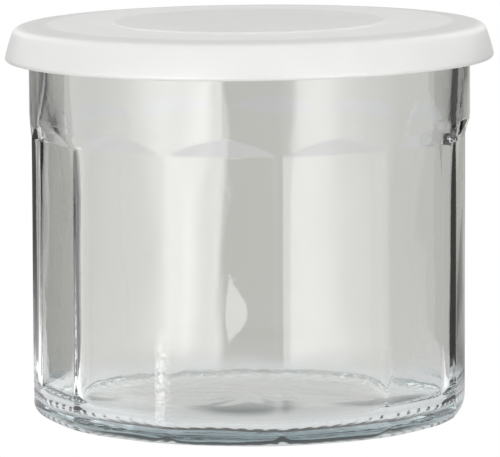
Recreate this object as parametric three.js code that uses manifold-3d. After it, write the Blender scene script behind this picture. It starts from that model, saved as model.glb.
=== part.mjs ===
// A small empty storage jar: a pressed glass pot with a round band at its mouth and
// twelve gently bowed panels round its body, closed by a soft plastic lid that overhangs the glass.
// Millimetres, +Z up, the jar standing on z = 0 with its axis on the Z axis.
import * as THREE from 'three';
import { mergeVertices } from 'three/addons/utils/BufferGeometryUtils.js';
import Module from 'manifold-3d';

// Glass: outside
const BAND_RADIUS = 43; // round band under the lid
const RIDGE_RADIUS = 42.72; // narrow ridges between the panels, just inside the band
const PANEL_COUNT = 12;
const PANEL_APOTHEM = 41.9; // axis to the middle of a panel
const PANEL_CROWN = 110; // radius that each panel is bowed to
const FIRST_RIDGE = THREE.MathUtils.degToRad(8); // from the front, -Y, towards +X
const PANEL_TOP = 55.2; // height where a panel's upright face ends
const RUNOUT_SLOPE = 0.31; // sloped end of a panel: how far out for each millimetre up
const RUNOUT_REACH = 0.6; // how far past the glass a slope is carried, for a clean cut
const BAND_START = 59.6; // height where the outside is the band's own radius
const HEEL_HEIGHT = 3.2; // height of the rounding between the walls and the base
const HEEL_REACH = 4; // how far the ridges turn in over that height
const PANEL_HEEL_REACH = 3.2; // how far a panel turns in over the same height
const RIM_HEIGHT = 75.5; // top of the glass

// Glass: inside and base
const BAND_WALL = 3.5; // thickness of the wall at the band
const PANEL_WALL = 3.3; // thickness behind the middle of a panel
const INSIDE_PANEL_TOP = 44; // height where the inside starts to turn from panels to round
const INSIDE_RUNOUT_SLOPE = 0.05; // a long gentle slope, so that the plunger draws out
const FLOOR_HEIGHT = 2.5; // lowest part of the inside floor above the table
const FLOOR_CORNER = 5.5; // rounding between the floor and the inside wall
const FLOOR_DOME = 1.6; // how far the floor rises to its middle
const BEARING_INNER = 33.5; // flat ring that the jar stands on
const PUSH_UP = 1.5; // domed hollow under the base, at its middle
const DOME_LEVEL = 0.36; // share of a dome's radius that pulls each of its ends level

// Lid
const SEAT_GAP = 0.3; // play between the lid and the glass
const LID_THICKNESS = 1.3;
const DISC_RADIUS = 26.8; // low raised disc in the middle of the lid
const DISC_RISE = 0.3;
const DISC_BEVEL = 0.5;
const LID_FLAT_RADIUS = 39.8; // flat top, up to where the outer ring starts to fall
const LID_RING_RADIUS = 43.4; // outer ring, up to where the shoulder turns down
const LID_RING_FALL = 0.3;
const SKIRT_TOP_RADIUS = 46.2; // skirt just under the shoulder
const SKIRT_RADIUS = 47.65; // widest point, at the skirt's foot
const SKIRT_HEIGHT = 7; // top of the lid to the skirt's foot
const SKIRT_BOW = 0.3; // how far the skirt swells past a straight flare
const SHOULDER_DROP = 1.5; // top of the lid to the lower end of the rounded shoulder
const SHOULDER_LEAN = 0.4; // the shoulder leans in by this much as it rises
const GRIP_DEPTH = 4; // ring inside the lid that grips the glass band
const GRIP_WALL = 1.1;

// Fineness of the faceted solids
const TURN_STEPS = 96; // steps round the glass, a whole number for each panel
const LID_STEPS = 72; // steps round the lid
const CROWN_STEPS = 120; // steps round the large circle that bows a panel
const ARC_STEPS = 4; // steps along each rounded stretch of a profile
const WELD = 1e-4; // points closer than this are one point

const wasm = await Module();
wasm.setup();

// A closed three.js geometry as a solid that can be cut.
function toSolid(geometry) {
  const bare = geometry.clone();
  bare.deleteAttribute('normal');
  bare.deleteAttribute('uv');
  const merged = mergeVertices(bare, WELD);
  return new wasm.Manifold(
    new wasm.Mesh({
      numProp: 3,
      vertProperties: merged.attributes.position.array,
      triVerts: new Uint32Array(merged.index.array),
    }),
  );
}

// A solid back as a three.js geometry.
function toGeometry(solid) {
  const mesh = solid.getMesh();
  const geometry = new THREE.BufferGeometry();
  geometry.setAttribute('position', new THREE.BufferAttribute(mesh.vertProperties, 3));
  geometry.setIndex(new THREE.BufferAttribute(mesh.triVerts, 1));
  geometry.computeVertexNormals();
  return geometry;
}

// A profile of radius and height turned round the Z axis, its first facet edge on a ridge.
function turned(profile, steps) {
  const geometry = new THREE.LatheGeometry(profile.getPoints(ARC_STEPS), steps, FIRST_RIDGE);
  return geometry.rotateX(Math.PI / 2);
}

// Starts a profile with a low dome, level on the axis and at its edge.
function dome(profile, radius, middle, edge) {
  const pull = radius * DOME_LEVEL;
  profile.moveTo(0, middle);
  profile.bezierCurveTo(pull, middle, radius - pull, edge, radius, edge);
}

// The round glass before its panels are pressed in, without its inside.
function outsideProfile() {
  const rimRadius = BAND_WALL / 2;
  const rimStart = RIM_HEIGHT - rimRadius;
  const profile = new THREE.Path();
  dome(profile, BEARING_INNER, PUSH_UP, 0);
  profile.lineTo(RIDGE_RADIUS - HEEL_REACH, 0);
  profile.absellipse(
    RIDGE_RADIUS - HEEL_REACH,
    HEEL_HEIGHT,
    HEEL_REACH,
    HEEL_HEIGHT,
    -Math.PI / 2,
    0,
  );
  profile.lineTo(RIDGE_RADIUS, PANEL_TOP);
  profile.lineTo(BAND_RADIUS, BAND_START);
  profile.lineTo(BAND_RADIUS, rimStart);
  profile.absarc(BAND_RADIUS - rimRadius, rimStart, rimRadius, 0, Math.PI / 2);
  profile.lineTo(0, RIM_HEIGHT);
  return profile;
}

// The space inside the glass, carried past the rim by its own rounded mouth.
function insideProfile() {
  const radius = BAND_RADIUS - BAND_WALL;
  const rimRadius = BAND_WALL / 2;
  const rimStart = RIM_HEIGHT - rimRadius;
  const cornerHeight = FLOOR_HEIGHT + FLOOR_CORNER;
  const profile = new THREE.Path();
  dome(profile, radius - FLOOR_CORNER, FLOOR_HEIGHT + FLOOR_DOME, FLOOR_HEIGHT);
  profile.absarc(radius - FLOOR_CORNER, cornerHeight, FLOOR_CORNER, -Math.PI / 2, 0);
  profile.lineTo(radius, rimStart);
  profile.absarc(radius + rimRadius, rimStart, rimRadius, Math.PI, Math.PI / 2, true);
  profile.lineTo(radius + rimRadius, RIM_HEIGHT + RUNOUT_REACH);
  profile.lineTo(0, RIM_HEIGHT + RUNOUT_REACH);
  return profile;
}

// What is taken off a round body to leave one bowed panel: a wide ring round an axis that stands
// behind the body's own, so that it reaches into the body only where the panel is.
function panelRing(index, panel) {
  const behind = panel.crown - panel.apothem;
  const outer = behind + panel.round + 2 * RUNOUT_REACH;
  const slopeEnd = behind + panel.round + RUNOUT_REACH;
  const top = panel.top + (slopeEnd - panel.crown) / panel.slope;
  const foot = panel.foot - panel.heelHeight;
  const below = foot - RUNOUT_REACH;
  const section = new THREE.Path();
  section.moveTo(outer, below);
  section.lineTo(outer, top);
  section.lineTo(slopeEnd, top);
  section.lineTo(panel.crown, panel.top);
  section.lineTo(panel.crown, panel.foot);
  section.absellipse(
    panel.crown - panel.heelReach,
    panel.foot,
    panel.heelReach,
    panel.heelHeight,
    0,
    -Math.PI / 2,
    true,
  );
  section.lineTo(panel.crown - panel.heelReach, below);
  section.closePath();
  const facing = FIRST_RIDGE + (index + 0.5) * ((2 * Math.PI) / PANEL_COUNT);
  const ring = turned(section, CROWN_STEPS);
  return ring.translate(-behind * Math.sin(facing), behind * Math.cos(facing), 0);
}

function withPanels(body, panel) {
  let cut = body;
  for (let index = 0; index < PANEL_COUNT; index += 1) {
    cut = cut.subtract(toSolid(panelRing(index, panel)));
  }
  return cut;
}

function glassJar() {
  const outside = withPanels(toSolid(turned(outsideProfile(), TURN_STEPS)), {
    apothem: PANEL_APOTHEM,
    crown: PANEL_CROWN,
    round: BAND_RADIUS,
    top: PANEL_TOP,
    slope: RUNOUT_SLOPE,
    foot: HEEL_HEIGHT,
    heelHeight: HEEL_HEIGHT,
    heelReach: PANEL_HEEL_REACH,
  });
  const inside = withPanels(toSolid(turned(insideProfile(), TURN_STEPS)), {
    apothem: PANEL_APOTHEM - PANEL_WALL,
    crown: PANEL_CROWN - PANEL_WALL,
    round: BAND_RADIUS - BAND_WALL,
    top: INSIDE_PANEL_TOP,
    slope: INSIDE_RUNOUT_SLOPE,
    foot: FLOOR_HEIGHT + FLOOR_CORNER,
    heelHeight: FLOOR_CORNER,
    heelReach: FLOOR_CORNER,
  });
  return toGeometry(outside.subtract(inside));
}

// The lid: out along its underside, round the grip ring and the skirt, back over the top.
function lidProfile() {
  const under = RIM_HEIGHT + SEAT_GAP;
  const top = under + LID_THICKNESS;
  const foot = top - SKIRT_HEIGHT;
  const footRound = LID_THICKNESS / 2;
  const gripInside = BAND_RADIUS + SEAT_GAP;
  const gripOutside = gripInside + GRIP_WALL;
  const gripFoot = under - GRIP_DEPTH;
  const shoulder = top - SHOULDER_DROP;
  const ringEdge = top - LID_RING_FALL;
  const bowRadius = (SKIRT_TOP_RADIUS + SKIRT_RADIUS) / 2 + SKIRT_BOW;
  const bowHeight = (shoulder + foot) / 2;
  const profile = new THREE.Path();
  profile.moveTo(0, under);
  profile.lineTo(gripInside, under);
  profile.lineTo(gripInside, gripFoot);
  profile.lineTo(gripOutside, gripFoot);
  profile.lineTo(gripOutside, shoulder - LID_RING_FALL);
  profile.lineTo(SKIRT_TOP_RADIUS - LID_THICKNESS, shoulder - LID_RING_FALL);
  profile.quadraticCurveTo(
    bowRadius - LID_THICKNESS,
    bowHeight,
    SKIRT_RADIUS - LID_THICKNESS,
    foot + footRound,
  );
  profile.absarc(SKIRT_RADIUS - footRound, foot + footRound, footRound, Math.PI, 2 * Math.PI);
  profile.quadraticCurveTo(bowRadius, bowHeight, SKIRT_TOP_RADIUS, shoulder);
  profile.quadraticCurveTo(SKIRT_TOP_RADIUS - SHOULDER_LEAN, ringEdge, LID_RING_RADIUS, ringEdge);
  profile.lineTo(LID_FLAT_RADIUS, top);
  profile.lineTo(DISC_RADIUS, top);
  profile.lineTo(DISC_RADIUS - DISC_BEVEL, top + DISC_RISE);
  profile.lineTo(0, top + DISC_RISE);
  return profile;
}

function lid() {
  return turned(lidProfile(), LID_STEPS);
}

function piece(name, geometry, look) {
  const mesh = new THREE.Mesh(geometry, new THREE.MeshStandardMaterial(look));
  mesh.name = name;
  return mesh;
}

const jamJar = new THREE.Group();
jamJar.add(
  piece('glass_jar', glassJar(), {
    color: 0xd4dad9,
    roughness: 0.03,
    metalness: 0,
    transparent: true,
    opacity: 0.35,
  }),
  piece('lid', lid(), { color: 0xe8e8e6, roughness: 0.38, metalness: 0 }),
);

export default jamJar;
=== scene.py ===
import math

import bpy
import numpy as np
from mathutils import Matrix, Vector


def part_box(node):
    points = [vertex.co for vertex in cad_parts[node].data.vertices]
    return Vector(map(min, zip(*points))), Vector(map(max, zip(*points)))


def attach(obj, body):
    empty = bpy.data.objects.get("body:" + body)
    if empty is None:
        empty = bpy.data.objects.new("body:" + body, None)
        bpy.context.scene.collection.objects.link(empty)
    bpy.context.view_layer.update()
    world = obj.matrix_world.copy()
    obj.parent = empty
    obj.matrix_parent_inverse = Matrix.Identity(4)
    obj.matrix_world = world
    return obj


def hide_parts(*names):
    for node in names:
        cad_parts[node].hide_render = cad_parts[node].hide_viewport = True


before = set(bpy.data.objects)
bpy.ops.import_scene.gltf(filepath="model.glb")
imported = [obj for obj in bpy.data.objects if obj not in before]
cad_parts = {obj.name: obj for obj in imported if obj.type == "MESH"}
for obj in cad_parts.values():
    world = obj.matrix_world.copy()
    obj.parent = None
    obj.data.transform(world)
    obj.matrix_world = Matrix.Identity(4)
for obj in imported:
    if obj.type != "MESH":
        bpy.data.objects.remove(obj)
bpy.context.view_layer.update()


# Glass jar.
# The pot is pressed in one piece from clear soda-lime glass. A twelve-sided mould leaves gently bowed
# panels that run out into a round band at the mouth, and a plunger leaves the inside a little wavy. A
# ring of low ribs under the foot shows through the glass as a twisted cord.
MM = 0.001
BAND_RADIUS = 43.0
RIDGE_RADIUS = 42.72
PANEL_COUNT = 12
PANEL_APOTHEM = 41.9
PANEL_CROWN = 110.0
FIRST_RIDGE = math.radians(8)
PANEL_TOP = 55.2
RUNOUT_SLOPE = 0.31
RUNOUT_KNEE = 0.25
RUNOUT_MARGIN = 1.0
BAND_START = 59.6
HEEL_HEIGHT = 3.2
HEEL_REACH = 4.0
PANEL_HEEL_REACH = 3.2
HEEL_TURNS = (4, 84)
RIDGE_JOIN = 0.03
RIDGE_BEAD = 0.06
RIDGE_BEAD_WIDTH = 0.55
RIDGE_BEAD_FADE = 1.0
SOFT_JOIN = 0.025
BAND_WALL = 3.5
PANEL_WALL = 3.3
INSIDE_RIDGE_JOIN = 0.9
INSIDE_PANEL_TOP = 44.0
INSIDE_RUNOUT_SLOPE = 0.05
INSIDE_RUNOUT_KNEE = 6.0
INSIDE_JOIN = 0.5
FLOOR_HEIGHT = 2.5
FLOOR_CORNER = 5.5
FLOOR_DOME = 1.6
BEARING_INNER = 33.5
PUSH_UP = 1.5
RIB_COUNT = 72
RIB_DEPTH = 0.35
RIB_MARGIN = 0.4
RIB_FADE = 0.25
STEPS_PER_PANEL = 44
RIDGE_CROWDING = 0.75

rim_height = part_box("glass_jar")[1][2] / MM
panel_turn = 2 * math.pi / PANEL_COUNT


def soft_min(first, second, reach):
    """The lower of two surfaces, with their meeting line rounded over."""
    closeness = np.maximum(reach - np.abs(first - second), 0) / reach
    return np.minimum(first, second) - closeness**2 * reach / 4


def ring_angles():
    """Angles round the jar from the front, closest at the ridges, and each one's place in its panel."""
    even = np.linspace(-1, 1, STEPS_PER_PANEL, endpoint=False)
    crowded = np.sin(even * math.pi / 2)
    within = panel_turn / 2 * (even + RIDGE_CROWDING * (crowded - even))
    middles = FIRST_RIDGE + panel_turn * (np.arange(PANEL_COUNT) + 0.5)
    return (middles[:, None] + within).ravel(), np.tile(within, PANEL_COUNT)


def panel_radius(apothem, within, crown, join):
    """Radius of a twelve-sided outline with gently bowed sides and softened ridges."""
    behind = crown - apothem

    def side(turn):
        return np.sqrt(crown**2 - (behind * np.sin(turn)) ** 2) - behind * np.cos(turn)

    return soft_min(side(within), side(panel_turn - np.abs(within)), join)


def round_radius(height):
    """Outside radius of the glass before the panels, at a height between the foot and the rim's curve."""
    below = np.clip((HEEL_HEIGHT - height) / HEEL_HEIGHT, 0, 1)
    heel = HEEL_REACH * (1 - np.sqrt(1 - below**2))
    widening = np.clip((height - PANEL_TOP) / (BAND_START - PANEL_TOP), 0, 1)
    return RIDGE_RADIUS + (BAND_RADIUS - RIDGE_RADIUS) * widening - heel


def panel_distance(height):
    """Distance of a panel from the axis: upright up to its top, then running out past the band."""
    below = np.clip((HEEL_HEIGHT - height) / HEEL_HEIGHT, 0, 1)
    heel = PANEL_HEEL_REACH * (1 - np.sqrt(1 - below**2))
    above = height - PANEL_TOP
    return PANEL_APOTHEM - heel + RUNOUT_SLOPE * (above + np.hypot(above, RUNOUT_KNEE)) / 2


def outside_radius(height, within):
    """Outside of the glass: the round body or a panel, whichever is nearer the axis, and the ridge beads."""
    panels = panel_radius(panel_distance(height), within, PANEL_CROWN, RIDGE_JOIN)
    from_ridge = (panel_turn / 2 - np.abs(within)) * RIDGE_RADIUS
    bead = RIDGE_BEAD * np.exp(-((from_ridge / RIDGE_BEAD_WIDTH) ** 2))
    below_top = np.clip(1 + (PANEL_TOP - height) / RIDGE_BEAD_FADE, 0, 1)
    above_heel = np.clip(height / HEEL_HEIGHT - 1, 0, 1)
    return soft_min(round_radius(height), panels, SOFT_JOIN) + below_top * above_heel * bead


def inside_radius(height, within):
    """Inside of the glass, which follows the panels softly and turns round behind the band."""
    above = height - INSIDE_PANEL_TOP
    drawn_out = INSIDE_RUNOUT_SLOPE * (above + np.hypot(above, INSIDE_RUNOUT_KNEE)) / 2
    apothem = PANEL_APOTHEM - PANEL_WALL + drawn_out
    panels = panel_radius(apothem, within, PANEL_CROWN - PANEL_WALL, INSIDE_RIDGE_JOIN)
    return soft_min(BAND_RADIUS - BAND_WALL, panels, INSIDE_JOIN)


def wave(turn, height, waves):
    """Unevenness left by pressing: a few slow waves round and up the glass."""
    total = np.zeros(np.broadcast(turn, height).shape)
    for depth, round_count, length, phase in waves:
        total += depth * np.sin(round_count * turn + 2 * math.pi * height / length + phase)
    return total


# Each wave has a depth, a number round the jar, a length up it and a phase.
INSIDE_WAVES = (
    (0.04, 5, 61.0, 0.4),
    (0.03, 8, -43.0, 2.3),
    (0.015, 13, 37.0, 4.1),
    (0.008, 21, -23.0, 1.2),
)
OUTSIDE_WAVES = (
    (0.010, 9, 47.0, 5.2),
    (0.006, 17, -31.0, 0.9),
)
FLOOR_WAVES = (
    (0.10, 4, 23.0, 1.1),
    (0.07, 9, -17.0, 3.0),
    (0.04, 15, 13.0, 0.3),
)
OUTSIDE_FADE = 6.0
INSIDE_FADE_TOP = 5.0
INSIDE_FADE_FOOT = 12.0


def jar_rings():
    """Rings of points out under the base, up the outside, over the rim and down the inside to the floor."""
    turn, within = ring_angles()
    rings = []

    def ring(radius, height):
        across = radius * np.sin(turn)
        rings.append(np.stack(np.broadcast_arrays(across, -radius * np.cos(turn), height), 1))

    for share in np.linspace(0, 1, 14)[1:-1]:
        ring(BEARING_INNER * share, PUSH_UP * (1 + math.cos(math.pi * share)) / 2)
    ribs_end = RIDGE_RADIUS - HEEL_REACH - RIB_MARGIN
    for share in np.linspace(0, 1, 12):
        rib = RIB_DEPTH * min(share / RIB_FADE, (1 - share) / RIB_FADE, 1)
        ring(BEARING_INNER + share * (ribs_end - BEARING_INNER), rib * (1 - np.cos(RIB_COUNT * turn)) / 2)
    for t in np.radians(np.linspace(*HEEL_TURNS, 12)):
        height = HEEL_HEIGHT * (1 - math.cos(t))
        ring(outside_radius(height, within), height)

    rim_round = BAND_WALL / 2
    wall_top = rim_height - rim_round
    heights = np.concatenate([
        np.linspace(HEEL_HEIGHT, PANEL_TOP - RUNOUT_MARGIN, 26),
        np.linspace(PANEL_TOP - RUNOUT_MARGIN, BAND_START + RUNOUT_MARGIN, 33)[1:],
        np.linspace(BAND_START + RUNOUT_MARGIN, wall_top, 9)[1:],
    ])
    for height in heights:
        fade = np.clip((height - HEEL_HEIGHT) / OUTSIDE_FADE, 0, 1)
        ring(outside_radius(height, within) + fade * wave(turn, height, OUTSIDE_WAVES), height)
    for t in np.radians(np.linspace(0, 180, 15)[1:-1]):
        ring(BAND_RADIUS - rim_round + rim_round * math.cos(t), wall_top + rim_round * math.sin(t))

    wall_foot = FLOOR_HEIGHT + FLOOR_CORNER
    heights = np.concatenate([
        np.linspace(wall_top, PANEL_TOP, 10),
        np.linspace(PANEL_TOP, INSIDE_PANEL_TOP, 10)[1:],
        np.linspace(INSIDE_PANEL_TOP, wall_foot, 22)[1:],
    ])
    for height in heights:
        from_ends = min((wall_top - height) / INSIDE_FADE_TOP, (height - wall_foot) / INSIDE_FADE_FOOT)
        fade = np.clip(from_ends, 0, 1)
        ring(inside_radius(height, within) + fade * wave(turn, height, INSIDE_WAVES), height)
    inside_foot = inside_radius(wall_foot, within)
    for t in np.radians(np.linspace(0, 90, 12)[1:]):
        radius = inside_foot - FLOOR_CORNER * (1 - math.cos(t))
        uneven = math.sin(t) * wave(turn, radius, FLOOR_WAVES)
        ring(radius, wall_foot - FLOOR_CORNER * math.sin(t) + uneven)
    for share in np.linspace(1, 0, 14)[1:-1]:
        radius = (inside_foot - FLOOR_CORNER) * share
        rise = FLOOR_DOME * (1 + math.cos(math.pi * share)) / 2
        ring(radius, FLOOR_HEIGHT + rise + share * wave(turn, radius, FLOOR_WAVES))
    return rings


def closed_skin(name, first, rings, last):
    """A closed mesh from rings of points in millimetres, drawn together to one point at each end."""
    count = len(rings[0])
    points = np.concatenate([[first], *rings, [last]])
    end = len(points) - 1
    faces = []
    for step in range(count):
        after = (step + 1) % count
        faces.append((0, 1 + after, 1 + step))
        for start in range(1, end - count, count):
            above = start + count
            faces.append((start + step, start + after, above + after, above + step))
        faces.append((end, end - count + step, end - count + after))
    mesh = bpy.data.meshes.new(name)
    mesh.from_pydata((points * MM).tolist(), [], faces)
    mesh.shade_smooth()
    return mesh


def bare_material(name):
    """A material with nothing in it but its output."""
    material = bpy.data.materials.new(name)
    material.use_nodes = True
    tree = material.node_tree
    tree.nodes.clear()
    return material, tree.nodes, tree.links, tree.nodes.new("ShaderNodeOutputMaterial")


def calculate(nodes, links, operation, first, second=0):
    """The result of a math node on two values, the second a number or a node's output."""
    node = nodes.new("ShaderNodeMath")
    node.operation = operation
    links.new(first, node.inputs[0])
    if isinstance(second, bpy.types.NodeSocket):
        links.new(second, node.inputs[1])
    else:
        node.inputs[1].default_value = second
    return node.outputs[0]


def rising(nodes, links, value, start, end):
    """A mask that rises smoothly from 0 to 1 while a value goes from start to end."""
    rise = nodes.new("ShaderNodeMapRange")
    rise.interpolation_type = "SMOOTHSTEP"
    rise.inputs["From Min"].default_value = start
    rise.inputs["From Max"].default_value = end
    links.new(value, rise.inputs["Value"])
    return rise.outputs[0]


def place_on(nodes, links):
    """A point's X, Y and Z on its piece, in metres."""
    place = nodes.new("ShaderNodeTexCoord")
    parts = nodes.new("ShaderNodeSeparateXYZ")
    links.new(place.outputs["Object"], parts.inputs[0])
    return parts.outputs


def turn_round(nodes, links):
    """A point's angle round the jar's axis, from the front."""
    place = place_on(nodes, links)
    front = calculate(nodes, links, "MULTIPLY", place["Y"], -1)
    return calculate(nodes, links, "ARCTAN2", place["X"], front)


def distance_from(nodes, links, x=0, y=0, width=1, depth=1):
    """A point's distance from an upright line through x and y, across in widths and along Y in depths."""
    place = nodes.new("ShaderNodeTexCoord")
    flat = nodes.new("ShaderNodeVectorMath")
    flat.operation = "MULTIPLY"
    flat.inputs[1].default_value = (1 / width, 1 / depth, 0)
    distance = nodes.new("ShaderNodeVectorMath")
    distance.operation = "DISTANCE"
    distance.inputs[1].default_value = (x / width, y / depth, 0)
    links.new(place.outputs["Object"], flat.inputs[0])
    links.new(flat.outputs[0], distance.inputs[0])
    return distance.outputs["Value"]


def blend(nodes, links, share, first, second):
    """One shader that gives way to another as a share goes from 0 to 1."""
    mix = nodes.new("ShaderNodeMixShader")
    links.new(share, mix.inputs[0])
    links.new(first, mix.inputs[1])
    links.new(second, mix.inputs[2])
    return mix.outputs[0]


def moulding_marks():
    """Slow unevenness and fine grain that a mould leaves on what it shapes."""
    group = bpy.data.node_groups.new("moulding_marks", "ShaderNodeTree")
    face = group.interface
    face.new_socket("Wave Scale", in_out="INPUT", socket_type="NodeSocketFloat")
    face.new_socket("Grain Scale", in_out="INPUT", socket_type="NodeSocketFloat")
    face.new_socket("Unevenness", in_out="OUTPUT", socket_type="NodeSocketFloat")
    face.new_socket("Grain", in_out="OUTPUT", socket_type="NodeSocketFloat")
    nodes = group.nodes
    links = group.links
    scales = nodes.new("NodeGroupInput")
    out = nodes.new("NodeGroupOutput")
    place = nodes.new("ShaderNodeTexCoord")
    for scale_name, mask_name, detail in (("Wave Scale", "Unevenness", 1), ("Grain Scale", "Grain", 4)):
        noise = nodes.new("ShaderNodeTexNoise")
        noise.inputs["Detail"].default_value = detail
        links.new(place.outputs["Object"], noise.inputs["Vector"])
        links.new(scales.outputs[scale_name], noise.inputs["Scale"])
        links.new(noise.outputs["Fac"], out.inputs[mask_name])
    return group


def marks_in(nodes, wave_scale, grain_scale):
    """The moulding marks in a material, with features this many to the metre."""
    marks = nodes.new("ShaderNodeGroup")
    marks.node_tree = marks_group
    marks.inputs["Wave Scale"].default_value = wave_scale
    marks.inputs["Grain Scale"].default_value = grain_scale
    return marks


def spread(nodes, links, mask, low, high):
    """A noise mask, which stays near its middle, as a value that varies from low to high."""
    ramp = nodes.new("ShaderNodeMapRange")
    ramp.inputs["From Min"].default_value = NOISE_LOW
    ramp.inputs["From Max"].default_value = NOISE_HIGH
    ramp.inputs["To Min"].default_value = low
    ramp.inputs["To Max"].default_value = high
    links.new(mask, ramp.inputs["Value"])
    return ramp.outputs[0]


def bump(nodes, links, mask, depth, normal):
    """Lets a mask lift the surface by a depth in metres, on top of any bump that the normal has already."""
    lift = nodes.new("ShaderNodeBump")
    lift.inputs["Distance"].default_value = depth
    links.new(mask, lift.inputs["Height"])
    for earlier in normal.links:
        links.new(earlier.from_socket, lift.inputs["Normal"])
    links.new(lift.outputs[0], normal)


marks_group = moulding_marks()
NOISE_LOW = 0.3
NOISE_HIGH = 0.7
GLASS_IOR = 1.51
GLASS_WAVES = 70
GLASS_GRAIN = 420
GLASS_WAVE_DEPTH = 0.00002
GLASS_GRAIN_DEPTH = 0.00001
GLASS_ROUGHEST = 0.003
INSIDE_FLOOR_ROUGHEST = 0.14
INSIDE_FLOOR_LOW = (0.0017, 0.0022)
INSIDE_FLOOR_HIGH = (0.0085, 0.0060)
INSIDE_FLOOR_EDGE = (0.0382, 0.0365)
INSIDE_FLOOR_FRONT = (0.000, 0.012)
SEAM_TURN = FIRST_RIDGE - panel_turn - math.radians(1.8)
SEAM_WIDTH = 0.032
SEAM_FOOT = 0.003
SEAM_FULL = 0.006
SEAM_FADE = 0.014
SEAM_TOP = 0.024
SEAM_GRAIN = 1500
SEAM_DEPTH = 0.0004
SEAM_IOR = 2.2
GLASS_DULLEST = (0.955, 0.96, 0.96, 1)
GLASS_CLEAREST = (0.985, 0.985, 0.98, 1)
FOOT_BOUNCES = 5
WALL_BOUNCES = 6.5
FOOT_TOP = 0.006
WALL_FOOT = 0.010
SHADOW_TINT = (0.93, 0.93, 0.92, 1)
THICK_TINT = (0.30, 0.52, 0.60, 1)
THICK_DENSITY = 12.0


def mould_seam(nodes, links, shader):
    """A speckled skin up one ridge, where the halves of the mould met, that sparkles over the clear glass."""
    height = place_on(nodes, links)["Z"]
    off_seam = calculate(nodes, links, "SUBTRACT", turn_round(nodes, links), SEAM_TURN)
    beside = calculate(nodes, links, "ABSOLUTE", off_seam)
    grain = marks_in(nodes, GLASS_WAVES, SEAM_GRAIN).outputs["Grain"]
    seam = spread(nodes, links, grain, 0, 1)
    for mask in (
        rising(nodes, links, beside, SEAM_WIDTH, SEAM_WIDTH / 2),
        rising(nodes, links, height, SEAM_FOOT, SEAM_FULL),
        rising(nodes, links, height, SEAM_TOP, SEAM_FADE),
    ):
        seam = calculate(nodes, links, "MULTIPLY", seam, mask)
    links.new(seam, shader.inputs["Coat Weight"])
    shader.inputs["Coat IOR"].default_value = SEAM_IOR
    bump(nodes, links, grain, SEAM_DEPTH, shader.inputs["Coat Normal"])


def inside_floor(nodes, links):
    """A mask that is 1 on the far part of the inside floor, which the plunger left less smooth."""
    place = place_on(nodes, links)
    mask = rising(nodes, links, distance_from(nodes, links), *INSIDE_FLOOR_EDGE)
    for limit in (
        rising(nodes, links, place["Z"], *INSIDE_FLOOR_LOW),
        rising(nodes, links, place["Z"], *INSIDE_FLOOR_HIGH),
        rising(nodes, links, place["Y"], *INSIDE_FLOOR_FRONT),
    ):
        mask = calculate(nodes, links, "MULTIPLY", mask, limit)
    return mask


def clear_glass():
    """Clear glass, faintly blue-grey where it is thick, that lets out lamplight and long-trapped light."""
    material, nodes, links, output = bare_material("clear_pressed_glass")
    glass = nodes.new("ShaderNodeBsdfPrincipled")
    glass.inputs["IOR"].default_value = GLASS_IOR
    glass.inputs["Transmission Weight"].default_value = 1.0
    marks = marks_in(nodes, GLASS_WAVES, GLASS_GRAIN)
    colour = nodes.new("ShaderNodeValToRGB")
    colour.color_ramp.elements[0].color = GLASS_DULLEST
    colour.color_ramp.elements[1].color = GLASS_CLEAREST
    links.new(marks.outputs["Grain"], colour.inputs["Fac"])
    links.new(colour.outputs["Color"], glass.inputs["Base Color"])
    walls = spread(nodes, links, marks.outputs["Grain"], 0, GLASS_ROUGHEST)
    floor = calculate(nodes, links, "MULTIPLY", inside_floor(nodes, links), INSIDE_FLOOR_ROUGHEST)
    links.new(calculate(nodes, links, "ADD", walls, floor), glass.inputs["Roughness"])
    bump(nodes, links, marks.outputs["Unevenness"], GLASS_WAVE_DEPTH, glass.inputs["Normal"])
    bump(nodes, links, marks.outputs["Grain"], GLASS_GRAIN_DEPTH, glass.inputs["Normal"])
    mould_seam(nodes, links, glass)
    path = nodes.new("ShaderNodeLightPath")
    bounces = nodes.new("ShaderNodeMapRange")
    bounces.inputs["From Min"].default_value = FOOT_TOP
    bounces.inputs["From Max"].default_value = WALL_FOOT
    bounces.inputs["To Min"].default_value = FOOT_BOUNCES
    bounces.inputs["To Max"].default_value = WALL_BOUNCES
    links.new(place_on(nodes, links)["Z"], bounces.inputs["Value"])
    trapped = calculate(nodes, links, "GREATER_THAN", path.outputs["Ray Depth"], bounces.outputs[0])
    let_through = calculate(nodes, links, "MAXIMUM", path.outputs["Is Shadow Ray"], trapped)
    through = nodes.new("ShaderNodeBsdfTransparent")
    through.inputs["Color"].default_value = SHADOW_TINT
    surface = blend(nodes, links, let_through, glass.outputs[0], through.outputs[0])
    links.new(surface, output.inputs["Surface"])
    tint = nodes.new("ShaderNodeVolumeAbsorption")
    tint.inputs["Color"].default_value = THICK_TINT
    tint.inputs["Density"].default_value = THICK_DENSITY
    links.new(tint.outputs[0], output.inputs["Volume"])
    return material


def add_piece(name, mesh, material):
    """Puts a mesh with its material into the scene."""
    piece = bpy.data.objects.new(name, mesh)
    mesh.materials.append(material)
    bpy.context.scene.collection.objects.link(piece)
    return piece


underside = (0, 0, PUSH_UP)
floor_middle = (0, 0, FLOOR_HEIGHT + FLOOR_DOME)
jar_skin = closed_skin("glass_jar_skin", underside, jar_rings(), floor_middle)
jar = add_piece("pressed_glass_jar", jar_skin, clear_glass())
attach(jar, "root")
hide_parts("glass_jar")


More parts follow.
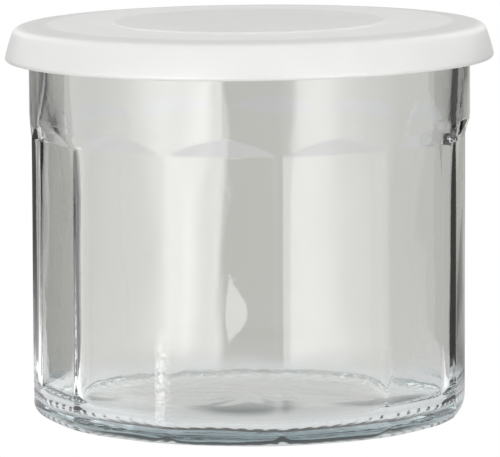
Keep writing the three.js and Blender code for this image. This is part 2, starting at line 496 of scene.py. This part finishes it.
# Lid.
# A closed lid moulded from soft translucent white polyethylene, with a low raised disc in its middle
# and a flared skirt. A thin ring inside it grips the band of the glass.
LID_THICKNESS = 1.3
DISC_RADIUS = 26.8
DISC_RISE = 0.3
DISC_BEVEL = 0.5
LID_FLAT_RADIUS = 38.8
LID_FLAT_KNEE = 1.2
LID_RING_RADIUS = 43.4
LID_RING_FALL = 0.3
SKIRT_TOP_RADIUS = 46.2
SKIRT_BOW = 0.3
SHOULDER_DROP = 1.5
SHOULDER_LEAN = 0.4
GRIP_INSIDE = 43.3
GRIP_WALL = 1.1
GRIP_DEPTH = 4.0
EDGE_ROUND = 0.2
LID_LEAN = 0.0062
LID_STEPS = 288

lid_low, lid_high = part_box("lid")
skirt_radius = lid_high[0] / MM
skirt_foot = lid_low[2] / MM
lid_top = lid_high[2] / MM - DISC_RISE


def bend(start, knee, end, steps):
    """Points on a smooth bend from start to end, pulled towards knee, without its start."""
    t = np.linspace(0, 1, steps + 1)[1:, None]
    curve = (1 - t) ** 2 * np.array(start) + 2 * t * (1 - t) * np.array(knee) + t**2 * np.array(end)
    return [tuple(point) for point in curve]


def lid_profile():
    """Radius and height along the lid: out under it, round the grip ring and the skirt, back over the top."""
    under = lid_top - LID_THICKNESS
    grip_outside = GRIP_INSIDE + GRIP_WALL
    grip_foot = under - GRIP_DEPTH
    edge = EDGE_ROUND
    points = [(radius, under) for radius in np.linspace(0, GRIP_INSIDE - edge, 8)[1:]]
    points += bend(points[-1], (GRIP_INSIDE, under), (GRIP_INSIDE, under - edge), 3)
    points += [(GRIP_INSIDE, grip_foot + edge)]
    points += bend(points[-1], (GRIP_INSIDE, grip_foot), (GRIP_INSIDE + edge, grip_foot), 3)
    points += [(grip_outside - edge, grip_foot)]
    points += bend(points[-1], (grip_outside, grip_foot), (grip_outside, grip_foot + edge), 3)

    shoulder = lid_top - SHOULDER_DROP
    under_ring = shoulder - LID_RING_FALL
    foot_round = LID_THICKNESS / 2
    bow_radius = (SKIRT_TOP_RADIUS + skirt_radius) / 2 + SKIRT_BOW
    bow_height = (shoulder + skirt_foot) / 2
    inner_foot = (skirt_radius - LID_THICKNESS, skirt_foot + foot_round)
    points += [(grip_outside, under_ring - edge / 2)]
    points += [(grip_outside + edge / 2, under_ring)]
    points += [(SKIRT_TOP_RADIUS - LID_THICKNESS, under_ring)]
    points += bend(points[-1], (bow_radius - LID_THICKNESS, bow_height), inner_foot, 8)
    for t in np.radians(np.linspace(180, 360, 13)[1:]):
        radius = skirt_radius - foot_round + foot_round * math.cos(t)
        points += [(radius, skirt_foot + foot_round + foot_round * math.sin(t))]
    points += bend(points[-1], (bow_radius, bow_height), (SKIRT_TOP_RADIUS, shoulder), 12)

    ring_top = lid_top - LID_RING_FALL
    disc_top = lid_top + DISC_RISE
    disc_edge = DISC_RADIUS - DISC_BEVEL
    half_bevel = (DISC_RADIUS - DISC_BEVEL / 2, lid_top + DISC_RISE / 2)
    points += bend(points[-1], (SKIRT_TOP_RADIUS - SHOULDER_LEAN, ring_top), (LID_RING_RADIUS, ring_top), 10)
    points += bend(points[-1], (LID_FLAT_RADIUS + LID_FLAT_KNEE, lid_top), (LID_FLAT_RADIUS, lid_top), 6)
    points += [(radius, lid_top) for radius in np.linspace(LID_FLAT_RADIUS, DISC_RADIUS + edge, 6)[1:]]
    points += bend(points[-1], (DISC_RADIUS, lid_top), half_bevel, 4)
    points += bend(points[-1], (disc_edge, disc_top), (disc_edge - edge, disc_top), 4)
    points += [(radius, disc_top) for radius in np.linspace(disc_edge - edge, 0, 8)[1:-1]]
    return points


def lid_rings():
    """The lid's profile turned round its axis, leaning a little to the left."""
    turn = np.linspace(0, 2 * math.pi, LID_STEPS, endpoint=False)
    rings = []
    for radius, height in lid_profile():
        across = radius * np.sin(turn)
        rings.append(np.stack([across, -radius * np.cos(turn), height + LID_LEAN * across], 1))
    return rings


# How white the lid is painted, by radius: painted shade makes it greyer over the disc and over the hollow
# ring that lies over the rim of the glass.
LID_PAINTED_SHADE_TONES = (
    (0.0, 0.825), (26.2, 0.825), (27.4, 0.925), (39.0, 0.915),
    (40.2, 0.79), (43.8, 0.80), (45.6, 0.93), (48.0, 0.95),
)
LID_TINT = (1, 1, 0.994)
LID_WAVES = 90
LID_GRAIN = 900
LID_GRAIN_DEPTH = 0.00003
LID_SMOOTHEST = 0.30
LID_ROUGHEST = 0.44
LID_MOTTLE = 0.97
LID_MILKINESS = 0.35
LID_LIGHT_REACH = 0.003


def tones_by(nodes, links, distance, tones, tint):
    """A colour by distance, from distances in millimetres and levels, all in one tint."""
    reach = tones[-1][0]
    share = nodes.new("ShaderNodeMapRange")
    share.inputs["From Max"].default_value = reach * MM
    ramp = nodes.new("ShaderNodeValToRGB")
    stops = ramp.color_ramp.elements
    for edge, _ in tones[1:-1]:
        stops.new(edge / reach)
    for stop, (_, level) in zip(stops, tones):
        stop.color = tuple(level * part for part in tint) + (1,)
    links.new(distance, share.inputs["Value"])
    links.new(share.outputs[0], ramp.inputs["Fac"])
    return ramp.outputs["Color"]


def milky_plastic():
    """Soft white polyethylene that light enters a little, with painted shade over the disc and the hollow
    ring.
    """
    material, nodes, links, output = bare_material("milky_polyethylene")
    plastic = nodes.new("ShaderNodeBsdfPrincipled")
    plastic.inputs["Subsurface Weight"].default_value = LID_MILKINESS
    plastic.inputs["Subsurface Radius"].default_value = (1.0, 1.0, 1.0)
    plastic.inputs["Subsurface Scale"].default_value = LID_LIGHT_REACH
    marks = marks_in(nodes, LID_WAVES, LID_GRAIN)
    mottle = nodes.new("ShaderNodeMix")
    mottle.data_type = "RGBA"
    mottle.blend_type = "MULTIPLY"
    mottle.inputs["Factor"].default_value = 1
    first_colour, second_colour = (socket for socket in mottle.inputs if socket.type == "RGBA")
    mottled = next(socket for socket in mottle.outputs if socket.type == "RGBA")
    from_axis = distance_from(nodes, links)
    # Painted shade by radius, mottled a little at random.
    links.new(tones_by(nodes, links, from_axis, LID_PAINTED_SHADE_TONES, LID_TINT), first_colour)
    links.new(spread(nodes, links, marks.outputs["Unevenness"], LID_MOTTLE, 1), second_colour)
    links.new(mottled, plastic.inputs["Base Color"])
    sheen = spread(nodes, links, marks.outputs["Grain"], LID_SMOOTHEST, LID_ROUGHEST)
    links.new(sheen, plastic.inputs["Roughness"])
    bump(nodes, links, marks.outputs["Grain"], LID_GRAIN_DEPTH, plastic.inputs["Normal"])
    links.new(plastic.outputs[0], output.inputs["Surface"])
    return material


lid_underside = (0, 0, lid_top - LID_THICKNESS)
disc_middle = (0, 0, lid_top + DISC_RISE)
lid_skin = closed_skin("lid_skin", lid_underside, lid_rings(), disc_middle)
lid = add_piece("soft_white_lid", lid_skin, milky_plastic())
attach(lid, "root")
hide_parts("lid")


# Table.
# A plain pale table, white to the camera. The glass sees it as bright as the tent all round, with a painted
# pool of light just in front of the jar, and painted shade under it, with a few darker patches of painted
# shade.
FLOOR_HALF = 4.0
TENT_REACH = 160
GLASS_BACKDROP = 0.54
SURFACES_THROUGH = 4
BACKDROP_TINT = (1, 0.975, 0.915)
TENT_TINT = (1, 0.985, 0.99)
# How bright the studio is, by degrees round the jar from the front.
TENT_LIGHT = (
    (-140, 0.14), (-122, 1.8), (-108, 1.38), (-95, 1.48), (-81, 1.7), (-74, 2.15), (-64, 2.65), (-55, 4.0),
    (-44, 5.0), (-33, 4.7), (-26, 5.6), (-21, 5.85), (-17, 3.95), (-14, 4.35), (-13.2, 0.8), (14, 0.95),
    (20, 1.6), (24, 4.1), (30, 4.75), (36, 4.9), (41, 4.6), (46, 3.3), (53, 2.95), (60, 2.32), (71, 2.03),
    (80, 1.3), (95, 1.13), (108, 0.87), (135, 0.25),
)
# Painted shade under the jar, as levels by millimetres from its axis: as the heel sees it, and as it is seen
# through the floor.
HEEL_TONES = ((0, 0.10), (21, 0.10), (29, 0.62), (36, 0.72), (46, 0.62))
FLOOR_TONES = ((0, 0.50), (21, 0.50), (29, 0.58), (36, 0.66), (46, 0.62))
# Darker patches of painted shade under the jar, by their middle, half width and half depth.
FLOOR_SHADE_PATCHES = (
    (-0.0015, -0.010, 0.013, 0.022),
    (-0.031, -0.001, 0.009, 0.012),
    (0.025, -0.007, 0.012, 0.014),
)
SHADE_PATCH_TINT = (0.02, 0.05, 0.06)
SHADE_PATCH_CORE = 0.45
UNDER_TINT = (0.955, 0.975, 0.975)
UNDER_START = 0.040
UNDER_END = 0.060
# A painted pool of light on the table just in front of the jar.
NEAR_END = 0.125
NEAR_FADE = 0.165
NEAR_FRONT = 0.06
NEAR_LEVEL = 2.2


def sheet(name, corners, material):
    """A flat sheet from its corners, in metres."""
    mesh = bpy.data.meshes.new(name)
    mesh.from_pydata(corners, [], [tuple(range(len(corners)))])
    piece = add_piece(name, mesh, material)
    return piece


def emission(nodes, colour, strength):
    """Plain light of one colour."""
    light = nodes.new("ShaderNodeEmission")
    light.inputs["Color"].default_value = (*colour, 1)
    light.inputs["Strength"].default_value = strength
    return light.outputs[0]


def studio_glow():
    """How bright the studio is in each direction round the jar: the tent in front, the backdrop behind."""
    group = bpy.data.node_groups.new("studio_glow", "ShaderNodeTree")
    group.interface.new_socket("Glow", in_out="OUTPUT", socket_type="NodeSocketColor")
    nodes = group.nodes
    links = group.links
    out = nodes.new("NodeGroupOutput")
    share = nodes.new("ShaderNodeMapRange")
    share.inputs["From Min"].default_value = -math.pi
    share.inputs["From Max"].default_value = math.pi
    ramp = nodes.new("ShaderNodeValToRGB")
    stops = ramp.color_ramp.elements
    for stop, degrees in zip(stops, (-TENT_REACH, TENT_REACH)):
        stop.position = 0.5 + degrees / 360
        stop.color = tuple(GLASS_BACKDROP / tent_brightest * part for part in BACKDROP_TINT) + (1,)
    for degrees, strength in TENT_LIGHT:
        stop = stops.new(0.5 + degrees / 360)
        stop.color = tuple(strength / tent_brightest * part for part in TENT_TINT) + (1,)
    links.new(turn_round(nodes, links), share.inputs["Value"])
    links.new(share.outputs[0], ramp.inputs["Fac"])
    links.new(ramp.outputs["Color"], out.inputs["Glow"])
    return group


tent_brightest = max(strength for _, strength in TENT_LIGHT)
glow_group = studio_glow()


def glowing(nodes, links):
    """Light with the colour and strength of the studio glow."""
    light = nodes.new("ShaderNodeEmission")
    light.inputs["Strength"].default_value = tent_brightest
    glow = nodes.new("ShaderNodeGroup")
    glow.node_tree = glow_group
    links.new(glow.outputs["Glow"], light.inputs["Color"])
    return light.outputs[0]


def through_jar():
    """Tells light that has passed right through the jar, by the surfaces that it has crossed."""
    group = bpy.data.node_groups.new("through_jar", "ShaderNodeTree")
    group.interface.new_socket("Through", in_out="OUTPUT", socket_type="NodeSocketFloat")
    out = group.nodes.new("NodeGroupOutput")
    path = group.nodes.new("ShaderNodeLightPath")
    crossed = path.outputs["Transmission Depth"]
    through = calculate(group.nodes, group.links, "GREATER_THAN", crossed, SURFACES_THROUGH - 0.5)
    group.links.new(through, out.inputs["Through"])
    return group


through_group = through_jar()


def unless_through(nodes, links, shader, other):
    """A shader that gives way to another for light that has passed right through the jar."""
    passed = nodes.new("ShaderNodeGroup")
    passed.node_tree = through_group
    return blend(nodes, links, passed.outputs["Through"], shader, other)


def plain_backdrop(nodes):
    """The even light behind the jar."""
    return emission(nodes, BACKDROP_TINT, GLASS_BACKDROP)


def table_shade(nodes, links, from_axis):
    """The table under the jar, in painted shade: dark in the middle to the heel, and pale with darker patches
    of painted shade through the floor.
    """
    shades = []
    for tones in (HEEL_TONES, FLOOR_TONES):
        shade = nodes.new("ShaderNodeEmission")
        links.new(tones_by(nodes, links, from_axis, tones, UNDER_TINT), shade.inputs["Color"])
        shades.append(shade.outputs[0])
    heel_shade, floor_shade = shades
    # Darker patches of painted shade, seen through the floor.
    for x, y, width, depth in FLOOR_SHADE_PATCHES:
        inside = rising(nodes, links, distance_from(nodes, links, x, y, width, depth), 1, SHADE_PATCH_CORE)
        floor_shade = blend(nodes, links, inside, floor_shade, emission(nodes, SHADE_PATCH_TINT, 1))
    return unless_through(nodes, links, heel_shade, floor_shade)


def table_material():
    """White to the camera. In the glass it glows like the studio, bright in front and shaded below."""
    material, nodes, links, output = bare_material("pale_table")
    from_axis = distance_from(nodes, links)
    far = rising(nodes, links, from_axis, NEAR_END, NEAR_FADE)
    beside = rising(nodes, links, place_on(nodes, links)["Y"], -NEAR_FRONT, -NEAR_FRONT / 2)
    elsewhere = calculate(nodes, links, "MAXIMUM", far, beside)
    # The painted pool of light just in front of the jar.
    near = emission(nodes, BACKDROP_TINT, NEAR_LEVEL)
    lit = blend(nodes, links, elsewhere, near, glowing(nodes, links))
    open_table = rising(nodes, links, from_axis, UNDER_START, UNDER_END)
    shade = table_shade(nodes, links, from_axis)
    around = unless_through(nodes, links, lit, plain_backdrop(nodes))
    in_glass = blend(nodes, links, open_table, shade, around)
    path = nodes.new("ShaderNodeLightPath")
    white = emission(nodes, (1, 1, 1), 1)
    surface = blend(nodes, links, path.outputs["Is Camera Ray"], in_glass, white)
    links.new(surface, output.inputs["Surface"])
    return material


floor_corners = [(-1, -1), (1, -1), (1, 1), (-1, 1)]
floor = sheet("table", [(x * FLOOR_HALF, y * FLOOR_HALF, 0) for x, y in floor_corners], table_material())
floor.visible_diffuse = False


# Tent.
# A round white cloth wall in front of the jar and beside it, seen only in the glass and in the lid's
# gloss. Above the jar it is evenly lit.
TENT_RADIUS = 0.30
TENT_HEIGHT = 0.35
TENT_STEPS = 116
TENT_UPPER = 1.5
UPPER_TINT = (1, 0.985, 0.95)
UPPER_START = 0.08
UPPER_END = 0.14


def tent_mesh():
    """The upright wall of the tent."""
    points = []
    for turn in np.radians(np.linspace(-TENT_REACH, TENT_REACH, TENT_STEPS)):
        for height in (0, TENT_HEIGHT):
            points.append((TENT_RADIUS * math.sin(turn), -TENT_RADIUS * math.cos(turn), height))
    faces = [(i, i + 2, i + 3, i + 1) for i in range(0, len(points) - 2, 2)]
    mesh = bpy.data.meshes.new("tent_wall")
    mesh.from_pydata(points, [], faces)
    return mesh


def tent_material():
    """Cloth that glows like the studio round the jar, and evenly above it."""
    material, nodes, links, output = bare_material("tent_cloth")
    upper = rising(nodes, links, place_on(nodes, links)["Z"], UPPER_START, UPPER_END)
    even = emission(nodes, UPPER_TINT, TENT_UPPER)
    cloth = blend(nodes, links, upper, glowing(nodes, links), even)
    surface = unless_through(nodes, links, cloth, plain_backdrop(nodes))
    links.new(surface, output.inputs["Surface"])
    return material


def only_in_glass(piece):
    """Hides a piece of the stage from the camera, from matt surfaces and from shadows."""
    piece.visible_camera = False
    piece.visible_diffuse = False
    piece.visible_shadow = False


tent = add_piece("tent_wall", tent_mesh(), tent_material())
only_in_glass(tent)


# Cards.
# Matt cards stand upright at each side of the jar, a little behind its middle, and draw the dark edges of
# the glass. A white slip like a leaf lies on the table in front and shows as a bright fleck on the glass.
CARD_INNER = 0.067
CARD_OUTER = 0.15
CARD_DEPTH = 0.022
CARD_HEIGHT = 0.070
RIGHT_INNER = 0.061
RIGHT_SPLIT = 0.049
RIGHT_HEIGHT = 0.080
DARK_CARD = (0.13, 0.13, 0.125)
GREY_CARD = (0.49, 0.485, 0.465)
BLACK_CARD = (0.05, 0.05, 0.048)
SLIP_START = Vector((-0.032, -0.160, 0.001))
SLIP_END = Vector((-0.056, -0.266, 0.001))
SLIP_BULGE_RIGHT = 0.016
SLIP_BULGE_LEFT = 0.004
SLIP_STEPS = 16
SLIP_TINT = (1, 0.985, 0.97)
SLIP_LEVEL = 5.5


def card(name, corners, colour, strength):
    """A card near the jar, seen only in and through the glass."""
    material, nodes, links, output = bare_material(name)
    links.new(emission(nodes, colour, strength), output.inputs["Surface"])
    piece = sheet(name, corners, material)
    only_in_glass(piece)
    return piece


def side_card(name, inner_x, outer_x, low, high, colour):
    """An upright card beside the jar, a little behind its middle."""
    foot = [(inner_x, CARD_DEPTH, low), (outer_x, CARD_DEPTH, low)]
    top = [(outer_x, CARD_DEPTH, high), (inner_x, CARD_DEPTH, high)]
    card(name, foot + top, colour, 1)


def leaf_side(start, end, bulge):
    """Points along one bulging side of a leaf lying on the table, without its last."""
    along = end - start
    aside = Vector((-along.y, along.x, 0)).normalized()
    shares = [step / SLIP_STEPS for step in range(SLIP_STEPS)]
    return [start + along * share + aside * bulge * math.sin(math.pi * share) for share in shares]


side_card("left_card", -CARD_INNER, -CARD_OUTER, 0, CARD_HEIGHT, DARK_CARD)
side_card("right_card", RIGHT_INNER, CARD_OUTER, 0, RIGHT_SPLIT, GREY_CARD)
side_card("upper_right_card", RIGHT_INNER, CARD_OUTER, RIGHT_SPLIT, RIGHT_HEIGHT, BLACK_CARD)
slip_corners = leaf_side(SLIP_START, SLIP_END, SLIP_BULGE_RIGHT)
slip_corners += leaf_side(SLIP_END, SLIP_START, SLIP_BULGE_LEFT)
white_slip = card("white_slip", slip_corners, SLIP_TINT, SLIP_LEVEL)
white_slip.visible_transmission = False


# Lamps and backdrop.
# Three soft lamps light the lid, one overhead and two in front. The backdrop is white to the camera and
# pale grey in the glass.
LAMP_AIM = Vector((0, 0, 0.07))
SKY_TINT = (1, 0.995, 0.985, 1)


def lamp(name, place, size, energy):
    """A soft square lamp aimed at the lid, which shows only as light on it."""
    light = bpy.data.lights.new(name, "AREA")
    light.size = size
    light.energy = energy
    source = bpy.data.objects.new(name, light)
    source.location = place
    source.rotation_euler = (LAMP_AIM - source.location).to_track_quat("-Z", "Y").to_euler()
    source.visible_glossy = False
    source.visible_transmission = False
    bpy.context.scene.collection.objects.link(source)


lamp("overhead_lamp", (0, 0.1, 1.0), size=1.0, energy=3.0)
lamp("left_lamp", (-0.45, -0.75, 0.25), size=0.5, energy=1.5)
lamp("right_lamp", (0.50, -0.70, 0.25), size=0.5, energy=1.25)

world = bpy.data.worlds.new("studio")
bpy.context.scene.world = world
world.use_nodes = True
sky_nodes = world.node_tree.nodes
sky_links = world.node_tree.links
sky = sky_nodes["Background"]
sky.inputs["Color"].default_value = SKY_TINT
sky.inputs["Strength"].default_value = GLASS_BACKDROP
backdrop = sky_nodes.new("ShaderNodeBackground")
backdrop.inputs["Color"].default_value = (1, 1, 1, 1)
sky_path = sky_nodes.new("ShaderNodeLightPath")
seen = blend(sky_nodes, sky_links, sky_path.outputs["Is Camera Ray"], sky.outputs[0], backdrop.outputs[0])
sky_links.new(seen, sky_nodes["World Output"].inputs["Surface"])
bpy.context.scene.view_settings.view_transform = "Standard"


# Camera.
# A long lens straight in front of the jar and a little above its lid, as in the photograph.
PIXELS_WIDE = 500
FOCAL_PIXELS = 4825
DISTANCE = 0.946
ELEVATION = math.radians(7.55)
LOOK_HEIGHT = 0.0342
AIM_RISE = 0.00225
ROLL = math.radians(-0.22)

lens = bpy.data.cameras.new("long_lens")
lens.sensor_width = 36
lens.lens = FOCAL_PIXELS * lens.sensor_width / PIXELS_WIDE
lens.clip_start = 0.05
camera = bpy.data.objects.new("camera", lens)
bpy.context.scene.collection.objects.link(camera)
camera.location = (0, -DISTANCE * math.cos(ELEVATION), LOOK_HEIGHT + DISTANCE * math.sin(ELEVATION))
aim = Vector((0, 0, LOOK_HEIGHT + AIM_RISE)) - camera.location
camera.rotation_euler = aim.to_track_quat("-Z", "Y").to_euler()
camera.rotation_euler.rotate_axis("Z", ROLL)
bpy.context.scene.camera = camera
